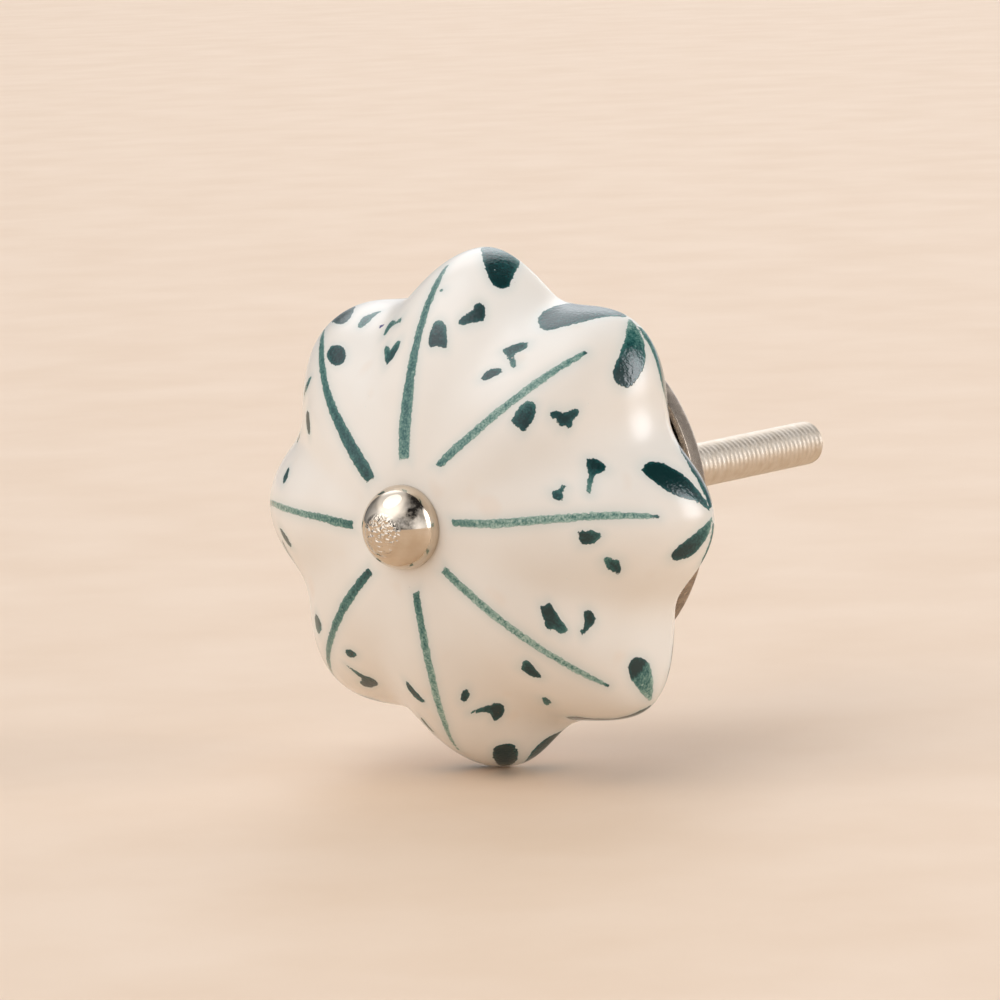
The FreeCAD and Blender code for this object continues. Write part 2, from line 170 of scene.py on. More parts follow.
# dabs and drops: lobe, the paint's body at the first point of the outline and opposite it,
# and the outline
DABS = [
    # lobe 1: drop, kidney, house, dot, check mark and loose stroke
    (1, 1.00, 0.62, [(3.6, 24.0), (2.6, 24.7), (1.8, 25.5), (0.8, 26.7), (0.1, 27.6), (-0.2, 28.4),
        (0.6, 28.9), (2.4, 28.9), (3.8, 28.5), (4.3, 27.2), (4.7, 26.2), (5.1, 25.1), (4.8, 24.3),
        (4.3, 24.0)]),
    (1, 0.98, 0.90, [(3.9, 21.7), (4.5, 21.8), (5.1, 20.8), (4.4, 19.9), (3.3, 18.8), (2.9, 18.8),
        (3.0, 19.4), (3.5, 20.2), (3.7, 20.7), (3.6, 21.1)]),
    (1, 0.96, 0.72, [(1.5, 15.7), (1.1, 15.5), (0.8, 15.8), (0.7, 16.4), (0.6, 17.0), (0.7, 17.7),
        (1.1, 18.1), (1.6, 18.1), (2.0, 17.9), (2.2, 17.4), (2.5, 16.8), (2.7, 16.3), (2.5, 16.1),
        (2.0, 16.0)]),
    (1, 0.75, 0.60, [(-0.1, 21.2), (0.2, 21.2), (0.2, 20.9), (0.0, 20.9), (-0.2, 21.1)]),
    (1, 0.88, 0.66, [(-3.7, 15.2), (-4.1, 15.6), (-4.5, 16.4), (-5.0, 17.3), (-5.1, 17.8), (-4.8, 17.7),
        (-4.3, 17.2), (-3.8, 16.5), (-3.4, 16.8), (-2.9, 16.9), (-2.4, 16.5), (-2.5, 15.8),
        (-2.8, 15.4), (-3.3, 15.2)]),
    (1, 0.60, 0.52, [(-6.4, 19.7), (-6.6, 20.1), (-6.8, 20.9), (-6.5, 21.4), (-5.6, 20.9), (-4.9, 20.2),
        (-4.3, 19.9), (-3.8, 19.8), (-3.6, 19.1), (-4.4, 19.5), (-5.3, 20.0), (-5.7, 19.9),
        (-6.0, 19.5)]),
    # lobe 2: hooked dab, dash, leaf, moth, long drop and round drop, strokes behind the rim
    (2, 0.84, 0.74, [(-5.9, 19.2), (-6.1, 19.4), (-5.9, 20.1), (-5.4, 20.6), (-4.9, 20.7), (-4.6, 20.5),
        (-4.2, 19.9), (-4.6, 19.3), (-4.5, 18.9), (-3.6, 18.2), (-3.1, 17.7), (-3.3, 17.6),
        (-4.1, 18.1), (-5.1, 18.8)]),
    (2, 0.90, 0.82, [(-5.0, 15.9), (-5.2, 16.4), (-5.1, 17.0), (-4.5, 17.3), (-4.0, 17.2), (-3.8, 16.8),
        (-4.0, 16.2), (-4.4, 15.7), (-4.7, 15.7)]),
    (2, 1.00, 0.60, [(2.0, 14.6), (1.9, 14.3), (1.3, 14.0), (0.8, 13.7), (0.5, 13.8), (0.2, 14.4),
        (0.0, 15.2), (0.1, 15.8), (0.5, 16.2), (1.0, 16.2), (1.4, 15.9), (1.8, 15.3)]),
    (2, 0.97, 0.88, [(2.2, 17.0), (2.1, 17.3), (2.4, 17.7), (2.9, 18.3), (3.1, 18.9), (3.3, 19.5),
        (3.6, 19.7), (3.9, 19.5), (3.9, 18.9), (4.3, 18.9), (4.4, 18.5), (4.0, 18.3), (3.7, 17.7),
        (3.2, 17.6), (2.6, 17.2)]),
    (2, 0.86, 0.76, [(-5.7, 22.9), (-6.8, 23.8), (-7.4, 24.5), (-7.8, 25.3), (-7.9, 26.6), (-7.8, 27.8),
        (-7.2, 28.9), (-5.8, 29.3), (-4.4, 29.2), (-3.2, 29.0), (-2.2, 28.7), (-1.6, 28.3),
        (-2.4, 27.1), (-2.8, 26.0), (-3.1, 25.0), (-3.7, 23.9), (-4.3, 22.9), (-4.8, 22.6)]),
    (2, 1.00, 0.42, [(3.2, 23.5), (2.6, 23.4), (2.2, 23.7), (1.7, 24.4), (1.0, 25.3), (0.4, 26.0),
        (-0.4, 26.9), (-1.5, 28.3), (-1.0, 28.4), (0.1, 28.0), (1.1, 27.8), (1.9, 27.5), (2.5, 27.2),
        (3.2, 26.7), (3.7, 26.0), (4.1, 25.2), (4.2, 24.6), (3.7, 23.9)]),
    (2, 0.72, 0.55, [(6.8, 31.2), (5.9, 29.5), (5.1, 28.6), (3.3, 28.3), (2.2, 28.2), (1.2, 28.1),
        (0.4, 28.1), (-0.4, 28.2), (0.8, 29.8), (3.4, 31.2), (5.6, 32.0)]),
    (2, 0.70, 0.50, [(-7.4, 31.6), (-6.2, 30.4), (-4.4, 29.8), (-2.2, 29.4), (-1.4, 29.6), (-3.2, 30.8),
        (-5.4, 32.0)]),
    # lobe 3: flag, chip, wedge, ragged dab, two drops, strokes behind the rim
    (3, 0.98, 0.62, [(-6.7, 19.6), (-6.7, 20.0), (-6.5, 20.4), (-6.0, 20.7), (-5.6, 20.7), (-5.2, 20.3),
        (-5.1, 19.7), (-4.5, 19.0), (-3.8, 18.5), (-3.2, 18.1), (-3.0, 17.8), (-3.7, 18.0),
        (-4.7, 18.7), (-5.5, 19.1), (-6.0, 19.2), (-6.4, 19.4)]),
    (3, 0.90, 0.80, [(-2.6, 15.2), (-2.8, 14.9), (-3.1, 14.9), (-3.4, 15.0), (-3.6, 15.2), (-3.6, 15.6),
        (-3.9, 16.0), (-4.2, 16.4), (-4.0, 16.5), (-3.4, 15.9), (-3.1, 15.8), (-2.7, 15.5)]),
    (3, 1.00, 0.66, [(0.7, 16.2), (0.1, 16.0), (0.0, 16.4), (0.0, 17.4), (0.2, 18.0), (0.4, 18.1),
        (0.7, 17.9), (1.0, 17.7), (1.2, 17.2), (1.2, 16.5)]),
    (3, 1.00, 0.58, [(4.2, 20.7), (4.1, 20.5), (3.7, 19.8), (3.6, 19.5), (3.1, 19.1), (2.5, 18.6),
        (2.3, 18.9), (2.6, 19.5), (2.8, 20.1), (3.2, 20.4), (3.8, 20.7)]),
    (3, 1.00, 0.76, [(-5.1, 23.5), (-5.5, 23.9), (-5.8, 24.4), (-5.8, 25.0), (-5.6, 25.7), (-5.1, 26.2),
        (-4.5, 26.8), (-3.7, 27.2), (-2.9, 27.5), (-2.0, 27.9), (-0.7, 28.4), (-1.1, 27.8),
        (-1.6, 27.3), (-1.9, 26.7), (-2.1, 26.0), (-2.4, 25.2), (-2.9, 24.5), (-3.6, 24.0),
        (-4.3, 23.6), (-4.7, 23.4)]),
    (3, 1.00, 0.50, [(2.6, 24.4), (2.2, 24.6), (1.7, 25.1), (1.2, 25.9), (0.6, 26.8), (0.1, 27.7),
        (-0.3, 28.5), (0.3, 28.3), (0.9, 28.1), (1.6, 27.8), (2.2, 27.4), (2.8, 26.9), (3.1, 26.2),
        (3.2, 25.5), (3.0, 24.8)]),
    (3, 0.97, 0.78, [(-7.6, 30.4), (-6.8, 28.8), (-6.2, 28.5), (-5.3, 28.3), (-4.4, 28.1), (-3.4, 28.1),
        (-2.4, 28.1), (-0.8, 28.2), (-1.6, 29.4), (-3.6, 30.8), (-5.8, 31.8)]),
    (3, 0.80, 0.60, [(4.4, 29.4), (4.0, 28.5), (3.2, 28.4), (2.2, 28.4), (1.2, 28.4), (0.1, 28.6),
        (0.8, 29.8), (2.4, 31.0), (4.0, 31.2)]),
    # lobe 4: ragged bar, comma, leaf, chip, drop with a pale tail, drops at the edges
    (4, 1.00, 0.66, [(-4.3, 15.3), (-4.6, 15.5), (-5.0, 15.8), (-5.0, 16.0), (-4.6, 16.5), (-4.2, 17.1),
        (-3.9, 17.7), (-3.7, 17.8), (-3.4, 17.6), (-3.0, 17.2), (-3.0, 16.9), (-3.1, 16.5),
        (-2.7, 15.9), (-2.8, 15.7), (-3.3, 15.5), (-3.7, 15.1), (-4.2, 15.0)]),
    (4, 0.98, 0.86, [(-6.4, 20.1), (-5.9, 20.4), (-5.4, 20.3), (-5.0, 19.9), (-4.6, 19.7), (-4.2, 19.4),
        (-3.9, 19.1), (-4.2, 19.0), (-4.8, 19.3), (-5.5, 19.3), (-6.0, 19.2), (-6.4, 19.5),
        (-6.5, 19.8)]),
    (4, 0.96, 0.84, [(1.4, 17.5), (1.7, 17.6), (2.0, 17.3), (2.1, 16.7), (2.1, 16.0), (1.3, 15.5),
        (0.8, 15.5), (0.8, 16.1), (1.1, 16.9)]),
    (4, 0.82, 0.66, [(3.9, 20.0), (3.6, 20.0), (3.7, 20.6), (4.0, 21.0), (4.9, 21.5), (4.9, 21.2),
        (4.4, 20.5)]),
    (4, 1.00, 0.95, [(-3.2, 23.9), (-3.8, 24.1), (-4.2, 24.8), (-4.1, 25.6), (-3.6, 26.1), (-2.9, 26.2),
        (-2.2, 25.9), (-1.9, 25.3), (-2.1, 24.6), (-2.6, 24.1)]),
    (4, 0.62, 0.34, [(-2.8, 24.0), (-3.6, 24.3), (-4.1, 25.2), (-3.8, 26.1), (-3.1, 26.5), (-2.1, 27.0),
        (-1.1, 27.5), (-0.3, 27.8), (-0.9, 26.5), (-1.5, 25.5), (-2.1, 24.6)]),
    (4, 0.92, 0.76, [(5.5, 24.4), (4.7, 24.4), (4.3, 25.1), (3.6, 25.8), (3.0, 26.6), (2.1, 27.1),
        (1.1, 27.6), (0.1, 28.4), (1.8, 29.2), (3.6, 29.0), (5.4, 28.4), (6.6, 27.2), (6.6, 25.6),
        (6.0, 24.6)]),
    (4, 0.85, 0.66, [(-5.4, 30.8), (-4.6, 29.4), (-3.6, 29.0), (-2.6, 28.8), (-1.5, 28.8), (-0.8, 28.8),
        (-1.6, 30.0), (-3.4, 31.4), (-5.0, 31.8)]),
    (4, 0.80, 0.60, [(6.4, 31.0), (5.0, 30.0), (3.0, 29.6), (0.8, 29.2), (2.0, 30.8), (4.4, 32.0)]),
    # lobe 5: chip, arrow, leaf, round drop and the drops at its edges
    (5, 0.96, 0.88, [(-2.9, 16.1), (-3.3, 15.9), (-3.7, 16.0), (-3.9, 16.4), (-3.8, 16.7), (-3.3, 17.0),
        (-2.9, 16.9), (-2.7, 16.5)]),
    (5, 0.97, 0.70, [(-5.3, 20.8), (-4.7, 20.6), (-4.5, 20.2), (-4.7, 19.7), (-4.5, 19.3), (-3.5, 18.6),
        (-2.7, 18.0), (-3.7, 18.3), (-4.7, 18.7), (-5.6, 19.1), (-6.2, 19.5), (-6.4, 20.0),
        (-6.0, 20.6)]),
    (5, 0.90, 0.82, [(3.0, 15.3), (2.5, 14.9), (2.1, 15.1), (1.5, 15.6), (1.1, 16.0), (1.1, 16.3),
        (1.6, 16.5), (2.3, 16.4), (2.9, 16.0)]),
    (5, 1.00, 0.86, [(-2.7, 23.0), (-3.3, 23.0), (-3.9, 23.5), (-4.3, 24.3), (-4.0, 25.2), (-3.4, 26.0),
        (-2.6, 26.8), (-1.6, 27.2), (-0.9, 27.0), (-1.2, 25.6), (-1.7, 24.4), (-2.1, 23.7)]),
    (5, 0.80, 0.70, [(3.5, 19.8), (3.0, 19.3), (2.7, 19.9), (2.4, 20.9), (2.9, 21.2), (3.4, 20.8)]),
    (5, 0.90, 0.70, [(4.3, 22.0), (3.6, 22.5), (3.1, 23.1), (2.6, 23.8), (1.7, 25.8), (0.9, 28.3),
        (2.8, 28.2), (4.4, 27.0), (5.2, 25.0), (5.0, 23.0)]),
    (5, 0.90, 0.75, [(-7.4, 28.8), (-6.8, 27.8), (-6.2, 27.2), (-5.4, 26.9), (-4.3, 27.0), (-2.9, 27.8),
        (-1.4, 28.7), (-2.8, 29.6), (-4.6, 30.2), (-6.4, 29.8)]),
    # lobe 6: chip, arrow, leaf and the drops at its edges
    (6, 0.88, 0.82, [(-1.7, 15.6), (-1.8, 15.2), (-2.2, 14.9), (-2.7, 15.0), (-2.9, 15.4), (-2.8, 15.9),
        (-2.3, 16.1), (-2.0, 16.0)]),
    (6, 0.96, 0.78, [(-5.5, 20.0), (-4.9, 20.6), (-4.1, 20.7), (-3.7, 19.9), (-4.0, 19.3), (-3.4, 18.5),
        (-2.6, 17.9), (-1.9, 17.3), (-2.7, 17.7), (-3.6, 18.1), (-4.2, 18.4), (-5.0, 18.5),
        (-5.8, 19.2)]),
    (6, 0.82, 0.68, [(3.1, 16.6), (2.4, 16.1), (1.7, 15.9), (1.5, 16.4), (1.7, 17.7), (2.1, 18.0),
        (2.6, 17.9), (3.1, 17.5)]),
    (6, 0.90, 0.60, [(-3.4, 23.8), (-4.3, 23.8), (-4.8, 24.8), (-5.0, 25.8), (-4.2, 26.8), (-2.8, 27.6),
        (-0.6, 28.6), (-1.6, 26.8), (-2.1, 25.6), (-2.5, 24.8)]),
    (6, 0.90, 0.60, [(5.0, 23.6), (3.8, 24.0), (2.6, 25.6), (1.4, 27.2), (0.4, 28.6), (3.0, 28.2),
        (5.0, 26.6)]),
    # lobe 7: chips, thin stroke and the drops at its edge
    (7, 0.92, 0.82, [(4.2, 18.4), (3.8, 17.7), (3.1, 17.2), (2.6, 17.3), (2.6, 17.8), (3.1, 18.3),
        (3.7, 18.5)]),
    (7, 0.88, 0.78, [(-1.5, 18.1), (-1.5, 17.4), (-2.2, 16.6), (-2.9, 16.5), (-3.1, 16.9), (-3.1, 17.5),
        (-2.4, 17.9)]),
    (7, 0.72, 0.60, [(-2.6, 18.8), (-3.2, 19.1), (-4.2, 19.4), (-5.7, 20.3), (-5.3, 21.2), (-4.4, 21.1),
        (-3.2, 19.8)]),
    (7, 0.95, 0.60, [(-4.6, 24.0), (-5.6, 25.0), (-5.0, 26.6), (-2.8, 27.8), (-0.4, 28.6), (-1.6, 26.8),
        (-2.8, 25.0)]),
    (7, 0.95, 0.60, [(4.2, 24.4), (2.8, 24.9), (1.6, 26.4), (0.2, 28.4), (2.6, 28.2), (4.6, 27.0),
        (5.2, 25.6)]),
    # lobe 8: round dab, round drop, long leaf, chip and the strokes at its left edge
    (8, 0.84, 0.94, [(1.5, 19.3), (1.7, 19.8), (2.1, 20.1), (2.6, 20.0), (3.2, 19.7), (3.5, 19.2),
        (3.6, 18.4), (3.4, 17.7), (3.0, 17.4), (2.4, 17.3), (1.9, 17.7), (1.6, 18.4)]),
    (8, 0.90, 0.72, [(2.8, 23.0), (2.2, 23.6), (1.4, 24.6), (0.9, 25.4), (0.8, 26.6), (1.4, 27.6),
        (2.4, 27.8), (3.2, 26.6), (3.6, 25.0), (3.7, 23.8), (3.3, 23.0)]),
    (8, 0.70, 0.62, [(4.8, 22.1), (4.8, 22.7), (5.0, 23.8), (5.6, 24.2), (6.2, 24.7), (6.8, 24.8),
        (6.6, 24.4), (6.2, 23.6), (5.8, 22.7), (5.4, 22.1), (5.0, 21.9)]),
    (8, 0.72, 0.62, [(-3.2, 19.5), (-2.6, 19.5), (-1.8, 19.2), (-1.3, 19.0), (-0.8, 18.5), (-1.5, 18.4),
        (-2.2, 18.6), (-3.1, 19.2)]),
    (8, 0.92, 0.82, [(-2.8, 17.0), (-2.8, 16.4), (-3.1, 15.9), (-3.7, 15.6), (-4.1, 15.7), (-4.3, 16.2),
        (-4.2, 16.8), (-3.8, 17.3), (-3.3, 17.4)]),
    (8, 0.72, 0.62, [(-6.9, 20.2), (-7.0, 19.9), (-7.8, 20.1), (-8.4, 20.5), (-8.5, 21.2),
        (-7.9, 21.1)]),
    (8, 0.90, 0.60, [(-5.0, 24.0), (-5.8, 25.2), (-5.0, 26.8), (-2.8, 27.8), (-0.4, 28.6), (-1.6, 26.8),
        (-3.2, 24.8)]),
]

# a slip of another brush in the valley beside lobe 1
SLIP_LOBE = 1
SLIP = [(-8.2, 21.5), (-8.4, 21.8), (-8.0, 21.9), (-7.6, 21.7), (-7.7, 21.4)]

# drops and strokes at the rim of the lobes that turn away from the photograph's view: their
# lobes, the paint's body at the two ends, and the outline
HIDDEN_RIM_LOBES = (1, 5, 6, 7, 8)
HIDDEN_RIM_BODY = (0.85, 0.60)
HIDDEN_RIM_STROKE = [(6.8, 31.0), (5.4, 29.8), (3.4, 29.2), (0.9, 29.0), (2.4, 30.4), (4.6, 31.8)]
HIDDEN_DROP_LOBE = 1
HIDDEN_DROP_BODY = (0.95, 0.60)
HIDDEN_DROP = [
    (-6.0, 24.6), (-6.8, 25.8), (-5.4, 27.2), (-3.0, 28.2), (-0.4, 28.6), (-2.2, 26.8), (-4.2, 25.2),
]

# paint reaches no further than this from any stroke's edge, so nothing is worked out there
PAINT_MARGIN = 1.5
# a reach that no stroke comes near, for what isn't painted
OUT_OF_REACH = 60.0
# the body written where there is no paint
BARE_BODY = 0.5
# how far along each side the corners of an outline are cut, the first time and the second
CORNER_CUTS = (0.15, 0.22)
# the hub end of a crest stroke is cut off at this share of its half width
BLUNT_END = 0.25
# steps between two points of a crest stroke
PATH_STEPS = 6
# places along a crest stroke, as shares of its length, where the paint's body is set
BODY_PLACES = (0, 0.12, 0.5, 0.85, 0.95, 1)
# the body of a dab changes late: this is the power of the way across it
BODY_FALL = 1.5


# section of the ceramic body


def front_height(crest):
    """How far the front curve stands before the widest plane, at a crest radius."""
    return FRONT_HEIGHT * (1 - (crest / KNOB_RADIUS) ** FRONT_FULLNESS) ** (1 / FRONT_ROUNDNESS)


def length_along(points):
    """How far along a polyline each of its points lies."""
    steps = np.hypot(*np.diff(points, axis=0).T)
    return np.concatenate([[0], np.cumsum(steps)])


def evenly(points, count):
    """A polyline divided into count steps of one length."""
    length = length_along(points)
    wanted = np.linspace(0, length[-1], count + 1)
    return np.stack([np.interp(wanted, length, column) for column in points.T], 1)


def ceramic_section():
    """Crest radius and Y of the glazed skin: its front, its back and the bend into the foot."""
    turn = np.linspace(math.asin(SEAT_RADIUS / KNOB_RADIUS), math.pi / 2, FRONT_SAMPLES)
    crest = KNOB_RADIUS * np.sin(turn)
    front = np.stack([crest, WIDEST_Y - front_height(crest)], 1)
    drop = np.linspace(0, 1, BACK_SAMPLES)
    narrowing = (1 - drop ** BACK_ROUNDNESS) ** (1 / BACK_ROUNDNESS)
    crest = FOOT_RADIUS + (KNOB_RADIUS - FOOT_RADIUS) * narrowing
    back = np.stack([crest, WIDEST_Y + BACK_HEIGHT * drop], 1)
    corner = back[-1]
    from_corner = np.hypot(*(back - corner).T)
    back = back[from_corner > FOOT_ROUNDING]
    inner = corner - np.array([FOOT_ROUNDING, 0])
    bend = np.linspace(0, 1, FOOT_BEND_STEPS + 1)[1:, None]
    rounded = (1 - bend) ** 2 * back[-1] + 2 * bend * (1 - bend) * corner + bend ** 2 * inner
    return evenly(front, FRONT_RINGS), evenly(back, BACK_RINGS)[1:], rounded


# making and finishing a mesh


def new_section(points):
    """A bmesh that holds a chain of (radius, Y) points in the plane through +X."""
    bm = bmesh.new()
    verts = [bm.verts.new((radius * MM, depth * MM, 0)) for radius, depth in points]
    for start, end in zip(verts, verts[1:]):
        bm.edges.new((start, end))
    return bm, verts


def spin_section(bm, angle, steps, rise=0):
    """Spin what the bmesh holds round the knob's axis, while it rises along the axis."""
    bmesh.ops.spin(
        bm, geom=bm.verts[:] + bm.edges[:], cent=(0, 0, 0), axis=(0, 1, 0),
        dvec=(0, rise * MM / steps, 0), angle=angle, steps=steps,
        use_merge=False, use_normal_flip=False, use_duplicate=False,
    )


def copy_all(bm, matrix):
    """Add a moved copy of everything in the bmesh."""
    copied = bmesh.ops.duplicate(bm, geom=bm.verts[:] + bm.edges[:] + bm.faces[:])["geom"]
    verts = [item for item in copied if isinstance(item, bmesh.types.BMVert)]
    bmesh.ops.transform(bm, matrix=matrix, verts=verts)


def turned(points, steps):
    """A half section turned once round the knob's axis: an eighth is spun and then repeated."""
    bm, verts = new_section(points)
    if points[0][0] > 0 or points[-1][0] > 0:
        bm.edges.new((verts[-1], verts[0]))
    spin_section(bm, math.tau / 8, steps // 8)
    for share in (8, 4, 2):
        copy_all(bm, Matrix.Rotation(math.tau / share, 4, "Y"))
    bmesh.ops.remove_doubles(bm, verts=bm.verts, dist=MERGE_DISTANCE)
    bmesh.ops.recalc_face_normals(bm, faces=bm.faces)
    return bm


def arc(centre, radius, start, end, count):
    """Points on an arc in (radius, Y), angles in degrees from the radius axis towards +Y."""
    angles = np.radians(np.linspace(start, end, count + 1))
    return [(centre[0] + radius * math.cos(a), centre[1] + radius * math.sin(a)) for a in angles]


def finish_piece(name, bm, material, crease=35):
    """Turn a bmesh into an object that shades smoothly, apart from edges past the crease angle."""
    limit = math.radians(crease)
    for face in bm.faces:
        face.smooth = True
    for edge in bm.edges:
        edge.smooth = len(edge.link_faces) != 2 or edge.calc_face_angle(0) < limit
    mesh = bpy.data.meshes.new(name)
    bm.to_mesh(mesh)
    bm.free()
    mesh.materials.append(material)
    piece = bpy.data.objects.new(name, mesh)
    bpy.context.scene.collection.objects.link(piece)
    return piece


def stand_for(piece, node):
    """The piece rides with the knob in place of a CAD node, which is hidden."""
    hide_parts(node)
    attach(piece, "root")


# paint on the ceramic, as values at every vertex


def smooth_outline(points):
    """A closed outline with its corners cut a little, twice, as a brush leaves them."""
    points = np.array(points, float)
    for cut in CORNER_CUTS:
        after = np.roll(points, -1, axis=0)
        near = points + cut * (after - points)
        far = after - cut * (after - points)
        points = np.stack([near, far], 1).reshape(-1, 2)
    return points


def smooth_path(points, count):
    """A brush path of (across, reach, half width) as a smooth chain."""
    points = np.array(points, float)
    ends = np.concatenate([[2 * points[0] - points[1]], points, [2 * points[-1] - points[-2]]])
    chain = []
    for p0, p1, p2, p3 in zip(ends, ends[1:], ends[2:], ends[3:]):
        for t in np.linspace(0, 1, count, endpoint=False):
            bend = 2 * p0 - 5 * p1 + 4 * p2 - p3
            twist = 3 * p1 - p0 - 3 * p2 + p3
            chain.append(p1 + 0.5 * t * ((p2 - p0) + t * (bend + t * twist)))
    return np.array(chain + [points[-1]])


def nearest_on_sides(places, start, side):
    """Distance from each place to each side of a chain, and how far along the side that is."""
    towards = places[:, None, :] - start[None]
    share = np.clip((towards * side).sum(2) / (side ** 2).sum(1), 0, 1)
    return np.hypot(*np.moveaxis(towards - share[..., None] * side, 2, 0)), share


def outline_gap(places, outline):
    """Distance in millimetres from each place to the outline, negative inside."""
    start = outline
    side = np.roll(outline, -1, axis=0) - start
    end = start + side
    away, share = nearest_on_sides(places, start, side)
    # a place is inside if a line from it crosses the outline an odd number of times
    crosses = (start[:, 1] > places[:, 1, None]) != (end[:, 1] > places[:, 1, None])
    rise = np.where(np.abs(side[:, 1]) < 1e-9, 1e-9, side[:, 1])
    cut = start[:, 0] + (places[:, 1, None] - start[:, 1]) * side[:, 0] / rise
    inside = (crosses & (places[:, 0, None] < cut)).sum(1) % 2 == 1
    return np.where(inside, -away.min(1), away.min(1))


def stroke_gap(places, chain):
    """Distance to the edge of a tapering stroke, and how far along it the place lies."""
    start = chain[:-1, :2]
    side = np.diff(chain[:, :2], axis=0)
    away, share = nearest_on_sides(places, start, side)
    gap = away - (chain[:-1, 2] + share * np.diff(chain[:, 2]))
    best = gap.argmin(1)
    row = np.arange(len(places))
    along = (best + share[row, best]) / len(side)
    # the brush is set down flat, so the hub end is blunt
    before = (start[0] - places) @ side[0] / np.hypot(*side[0])
    return np.maximum(gap[row, best], before - BLUNT_END * chain[0, 2]), along


class Painter:
    """Holds the places of the skin's vertices on each lobe and the paint laid on them."""

    def __init__(self, angle, crest, reach):
        self.angle = angle
        self.crest = crest
        self.reach = reach
        self.gap = np.full(len(angle), PAINT_MARGIN)
        self.body = np.full(len(angle), BARE_BODY)

    def near(self, lobe, low, high):
        """The vertices in a box on a lobe, and their places on it."""
        turn = self.angle - (lobe - 1) * math.tau / LOBES
        turn = (turn + math.pi) % math.tau - math.pi
        places = np.stack([turn * self.crest, self.reach], 1)
        low = np.array(low) - PAINT_MARGIN
        high = np.array(high) + PAINT_MARGIN
        found = np.flatnonzero(((places > low) & (places < high)).all(1))
        return found, places[found]

    def lay(self, found, gap, body):
        """Keep the nearest paint at each vertex."""
        over = gap < self.gap[found]
        self.gap[found[over]] = gap[over]
        self.body[found[over]] = body[over]

    def dab(self, lobe, first, last, points):
        """Lay a dab whose body changes from its outline's first point to the one opposite."""
        outline = smooth_outline(points)
        found, places = self.near(lobe, outline.min(0), outline.max(0))
        head = np.array(points[0])
        fall = np.array(points[len(points) // 2]) - head
        share = np.clip((places - head) @ fall / (fall @ fall), 0, 1)
        self.lay(found, outline_gap(places, outline), first + (last - first) * share ** BODY_FALL)

    def stroke(self, lobe, points, bodies):
        """Lay a crest stroke."""
        chain = smooth_path(points, PATH_STEPS)
        found, places = self.near(lobe, chain[:, :2].min(0), chain[:, :2].max(0))
        gap, along = stroke_gap(places, chain)
        hub, middle, rim, tip = bodies
        levels = [hub, (hub + middle) / 2, middle, (middle + rim) / 2, rim, tip]
        self.lay(found, gap, np.interp(along, BODY_PLACES, levels))


def mirrored(points):
    """Points on the other side of a lobe's crest."""
    return [(-across, reach) for across, reach in points]


def paint_body(mesh, angle, crest, reach):
    """Write the paint as vertex values: the gap to its edge, its body, and the blue slip."""
    painter = Painter(angle, crest, reach)
    for lobe, (points, bodies) in CREST_STROKES.items():
        painter.stroke(lobe, points, bodies)
    for lobe, first, last, points in DABS:
        painter.dab(lobe, first, last, points)
    for lobe in HIDDEN_RIM_LOBES:
        painter.dab(lobe, *HIDDEN_RIM_BODY, HIDDEN_RIM_STROKE)
        painter.dab(lobe, *HIDDEN_RIM_BODY, mirrored(HIDDEN_RIM_STROKE))
    painter.dab(HIDDEN_DROP_LOBE, *HIDDEN_DROP_BODY, HIDDEN_DROP)
    slip = Painter(angle, crest, reach)
    slip.dab(SLIP_LOBE, 1, 1, SLIP)
    for name, values in (
        ("paint_gap", painter.gap), ("paint_body", painter.body), ("slip_gap", slip.gap),
    ):
        values = values.astype(np.float32)
        mesh.attributes.new(name, "FLOAT", "POINT").data.foreach_set("value", values)


# materials

# half the width in millimetres over which paint gives way to the bare body
PAINT_EDGE = 0.035
# a speck's edge is soft over this share of its radius, inwards and outwards
SPECK_SOFTNESS = 0.4


def linear(code):
    """Linear colour of an sRGB hex code."""
    parts = [int(code[i:i + 2], 16) / 255 for i in (1, 3, 5)]
    return [p / 12.92 if p <= 0.04045 else ((p + 0.055) / 1.055) ** 2.4 for p in parts] + [1.0]


def feed(tree, node, inputs):
    """Set a node's inputs, each from a value, a hex colour, or a node or socket to link from."""
    for name, value in inputs.items():
        if isinstance(value, bpy.types.Node):
            value = next(output for output in value.outputs if output.enabled)
        if isinstance(value, bpy.types.NodeSocket):
            tree.links.new(value, node.inputs[name])
        else:
            node.inputs[name].default_value = linear(value) if isinstance(value, str) else value


def add(tree, kind, inputs=None, stops=(), **settings):
    """Add a node with its settings, its inputs and the colour stops of a ramp."""
    node = tree.nodes.new("ShaderNode" + kind)
    for name, value in settings.items():
        setattr(node, name, value)
    feed(tree, node, inputs or {})
    for number, (position, code) in enumerate(stops):
        ramp = node.color_ramp.elements
        element = ramp[number] if number < 2 else ramp.new(position)
        element.position = position
        element.color = linear(code)
    return node


def per_metre(size):
    """Texture scale that gives features of a size in millimetres."""
    return 1 / (size * MM)


def micrometres(depth):
    """A depth in micrometres as metres."""
    return depth * 1e-6


def new_material(name, **values):
    """A material with a Principled shader: its tree, its shader and the piece's own coordinates."""
    material = bpy.data.materials.new(name)
    material.use_nodes = True
    tree = material.node_tree
    tree.nodes.clear()
    shader = add(tree, "BsdfPrincipled", values)
    add(tree, "OutputMaterial", {"Surface": shader})
    return material, tree, shader, add(tree, "TexCoord").outputs["Object"]


